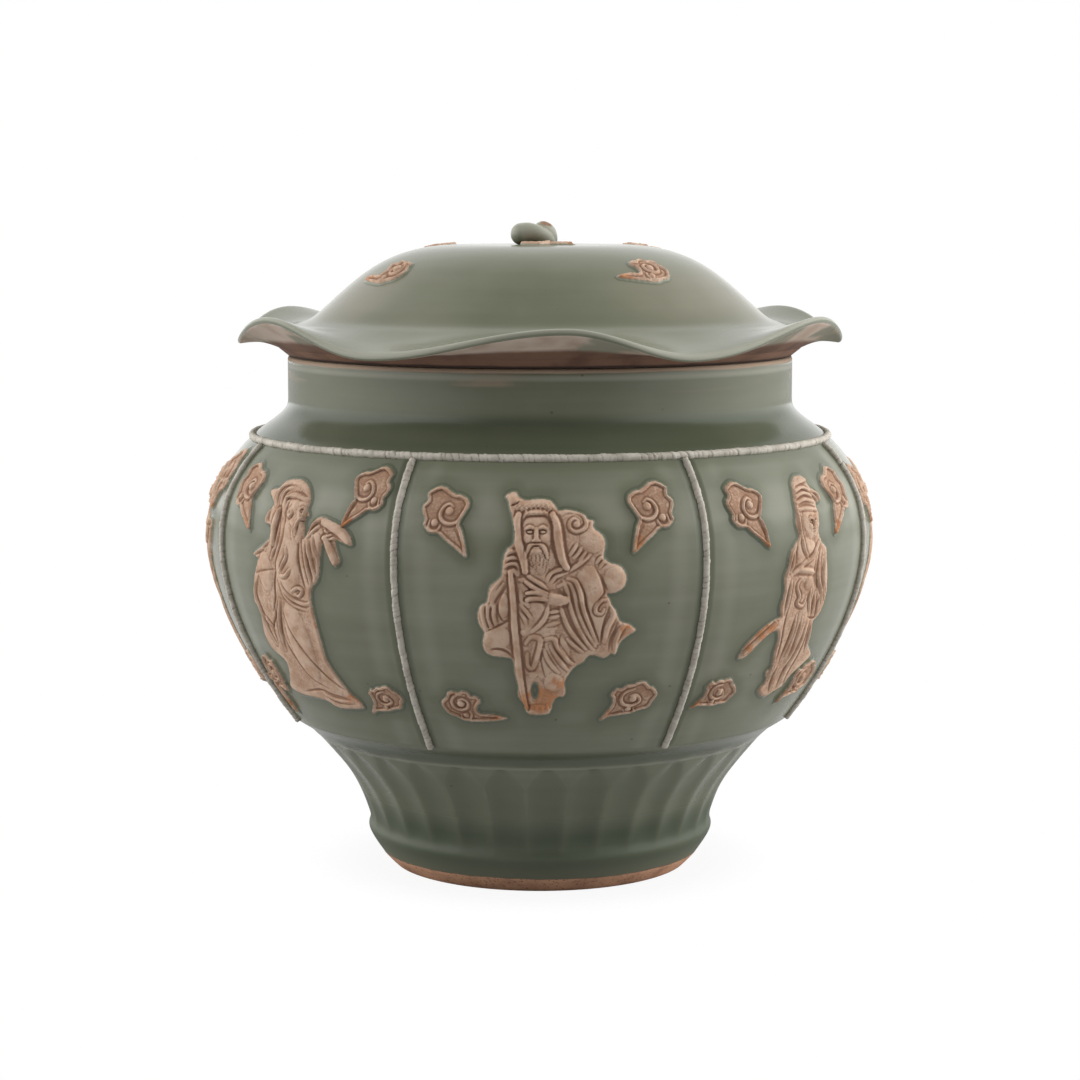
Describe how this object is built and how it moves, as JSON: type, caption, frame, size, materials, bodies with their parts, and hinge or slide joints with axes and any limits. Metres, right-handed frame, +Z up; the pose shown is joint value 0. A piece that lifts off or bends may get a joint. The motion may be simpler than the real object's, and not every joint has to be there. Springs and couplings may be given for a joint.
{
  "type": "lidded jar",
  "caption": "Wide celadon jar with a wavy lotus-leaf lid, upright neck, beaded panel cords, biscuit sprigs of robed figures and clouds, and a petal-carved foot; the lid lifts off",
  "frame": {"origin": "centre of the foot ring, on the surface that the jar stands on", "axes": "+Z up the jar's axis, -Y out of the front panel, +X to the right of the front view"},
  "size_m": [0.3528, 0.3528, 0.3381],
  "materials": {
    "celadon_glaze": "glossy grey-green celadon glaze, paler on edges, darker where it pools",
    "biscuit": "matt unglazed pinkish-tan relief with red-brown grooves",
    "bare_clay": "matt unglazed brown clay",
    "bead_slip": "pale grey beaded slip cord"
  },
  "bodies": {
    "jar": {"base_disc": "bare_clay", "cloud_1_bottom_left": "biscuit", "cloud_1_bottom_right": "biscuit", "cloud_1_top_left": "biscuit", "cloud_1_top_right": "biscuit", "cloud_2_bottom_left": "biscuit", "cloud_2_bottom_right": "biscuit", "cloud_2_top_left": "biscuit", "cloud_2_top_right": "biscuit", "cloud_3_bottom_left": "biscuit", "cloud_3_bottom_right": "biscuit", "cloud_3_top_left": "biscuit", "cloud_3_top_right": "biscuit", "cloud_4_bottom_left": "biscuit", "cloud_4_bottom_right": "biscuit", "cloud_4_top_left": "biscuit", "cloud_4_top_right": "biscuit", "cloud_5_bottom_left": "biscuit", "cloud_5_bottom_right": "biscuit", "cloud_5_top_left": "biscuit", "cloud_5_top_right": "biscuit", "cloud_6_bottom_left": "biscuit", "cloud_6_bottom_right": "biscuit", "cloud_6_top_left": "biscuit", "cloud_6_top_right": "biscuit", "cloud_7_bottom_left": "biscuit", "cloud_7_bottom_right": "biscuit", "cloud_7_top_left": "biscuit", "cloud_7_top_right": "biscuit", "cloud_8_bottom_left": "biscuit", "cloud_8_bottom_right": "biscuit", "cloud_8_top_left": "biscuit", "cloud_8_top_right": "biscuit", "figure_1": "biscuit", "figure_2": "biscuit", "figure_3": "biscuit", "figure_4": "biscuit", "figure_5": "biscuit", "figure_6": "biscuit", "figure_7": "biscuit", "figure_8": "biscuit", "jar_body": "celadon_glaze", "rib_cord_1": "bead_slip", "rib_cord_2": "bead_slip", "rib_cord_3": "bead_slip", "rib_cord_4": "bead_slip", "rib_cord_5": "bead_slip", "rib_cord_6": "bead_slip", "rib_cord_7": "bead_slip", "rib_cord_8": "bead_slip", "shoulder_cord": "bead_slip"},
    "lid": {"lid_cloud_1": "biscuit", "lid_cloud_2": "biscuit", "lid_cloud_3": "biscuit", "lid_cloud_4": "biscuit", "lid_cloud_5": "biscuit", "lid_locating_ring": "bare_clay", "lid_shell": "celadon_glaze", "lid_stalk_knob": "celadon_glaze"}
  },
  "joints": [
    {"name": "lid_lift", "type": "slide", "parent": "jar", "child": "lid", "axis": [0, 0, 1], "range_m": [0, 0.15]}
  ]
}
